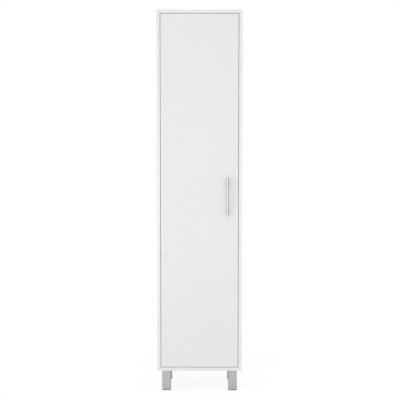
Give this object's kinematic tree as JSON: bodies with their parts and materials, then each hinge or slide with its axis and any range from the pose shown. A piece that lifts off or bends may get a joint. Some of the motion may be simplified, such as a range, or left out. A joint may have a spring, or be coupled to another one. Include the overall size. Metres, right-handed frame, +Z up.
{
  "type": "broom cupboard",
  "caption": "Tall narrow white broom cupboard on square metal legs, with an inset hinged door, a bar handle, a fixed shelf and a rail of hooks behind the door.",
  "frame": {"origin": "on the floor, in the middle of the footprint with the handle included", "axes": "+X to the right seen from the front, +Y to the back, +Z up"},
  "size_m": [0.4, 0.345, 1.8],
  "materials": {
    "white_laminate_board": "matt white melamine face with a fine grain",
    "painted_hardboard": "hardboard painted off-white",
    "white_plastic": "white moulded plastic",
    "ferrite_magnet": "dark pressed ferrite",
    "satin_leg_metal": "satin metal",
    "dark_grey_plastic": "dark grey moulded plastic",
    "satin_handle_steel": "satin steel",
    "zinc_plated_steel": "bright zinc plate",
    "nickel_plated_steel": "nickel plate",
    "cast_zinc": "cast zinc",
    "beech_dowel": "bare fluted beech"
  },
  "bodies": {
    "carcass": {"back_joining_strip": "white_plastic", "back_panel_nails": "zinc_plated_steel", "bottom_panel": "white_laminate_board", "broom_hook_left": "zinc_plated_steel", "broom_hook_middle": "zinc_plated_steel", "broom_hook_right": "zinc_plated_steel", "cam_bolts": "cast_zinc", "cam_locks": "cast_zinc", "catch_housing": "white_plastic", "catch_magnet": "ferrite_magnet", "catch_pole_plates": "zinc_plated_steel", "catch_screws": "zinc_plated_steel", "fixed_shelf": "white_laminate_board", "front_left_leg": "satin_leg_metal", "front_left_leg_pad": "dark_grey_plastic", "front_left_leg_socket": "dark_grey_plastic", "front_right_leg": "satin_leg_metal", "front_right_leg_pad": "dark_grey_plastic", "front_right_leg_socket": "dark_grey_plastic", "hinge_1_arm": "nickel_plated_steel", "hinge_1_plate": "nickel_plated_steel", "hinge_2_arm": "nickel_plated_steel", "hinge_2_plate": "nickel_plated_steel", "hinge_3_arm": "nickel_plated_steel", "hinge_3_plate": "nickel_plated_steel", "hinge_4_arm": "nickel_plated_steel", "hinge_4_plate": "nickel_plated_steel", "hinge_arm_screws": "nickel_plated_steel", "hinge_plate_screws": "nickel_plated_steel", "hook_rail": "white_laminate_board", "hook_screws": "zinc_plated_steel", "left_side_panel": "white_laminate_board", "leg_grub_screws": "zinc_plated_steel", "leg_socket_screws": "zinc_plated_steel", "lower_back_panel": "painted_hardboard", "rear_left_leg": "satin_leg_metal", "rear_left_leg_pad": "dark_grey_plastic", "rear_left_leg_socket": "dark_grey_plastic", "rear_right_leg": "satin_leg_metal", "rear_right_leg_pad": "dark_grey_plastic", "rear_right_leg_socket": "dark_grey_plastic", "right_side_panel": "white_laminate_board", "top_panel": "white_laminate_board", "upper_back_panel": "painted_hardboard", "wall_bracket": "zinc_plated_steel", "wall_bracket_screw": "zinc_plated_steel", "wood_dowels": "beech_dowel"},
    "door": {"catch_strike_plate": "nickel_plated_steel", "door_panel": "white_laminate_board", "handle_bar": "satin_handle_steel", "handle_lower_post": "satin_handle_steel", "handle_screws": "zinc_plated_steel", "handle_upper_post": "satin_handle_steel", "hinge_1_cup": "nickel_plated_steel", "hinge_2_cup": "nickel_plated_steel", "hinge_3_cup": "nickel_plated_steel", "hinge_4_cup": "nickel_plated_steel", "hinge_cup_screws": "nickel_plated_steel", "hinge_pins": "nickel_plated_steel", "strike_plate_screws": "zinc_plated_steel"}
  },
  "joints": [
    {"name": "door_swing", "type": "hinge", "parent": "carcass", "child": "door", "pos_m": [-0.1625, -0.1301, 0.95], "axis": [0, 0, -1], "range_deg": [0, 100]}
  ]
}
